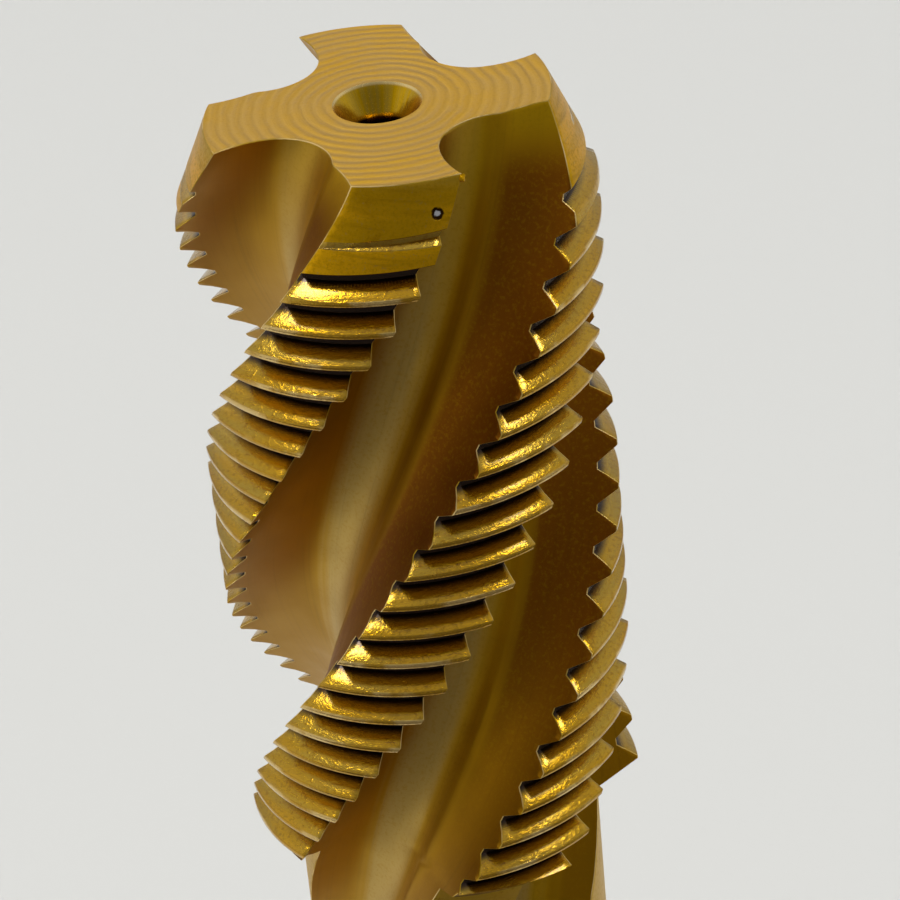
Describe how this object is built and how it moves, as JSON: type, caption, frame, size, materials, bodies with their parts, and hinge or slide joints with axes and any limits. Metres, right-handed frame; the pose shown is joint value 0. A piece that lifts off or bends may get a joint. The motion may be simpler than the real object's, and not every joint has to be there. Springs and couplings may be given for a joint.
{
  "type": "spiral flute tap",
  "caption": "Machine tap for cutting internal threads, with spiral flutes, a short tapered lead, a plain shank and a driving square, coated gold all over.",
  "frame": {"origin": "centre of the flat end of the driving square", "axes": "+Z along the tap's axis, from the driving end up to the cutting tip; +X towards the middle of one land at the tip face"},
  "size_m": [0.018, 0.018, 0.112],
  "materials": {
    "coated_steel": "gold nitride coating over ground tool steel, satin on the face and bright on the teeth"
  },
  "bodies": {
    "root": {"spiral_flute_tap": "coated_steel"}
  },
  "joints": []
}
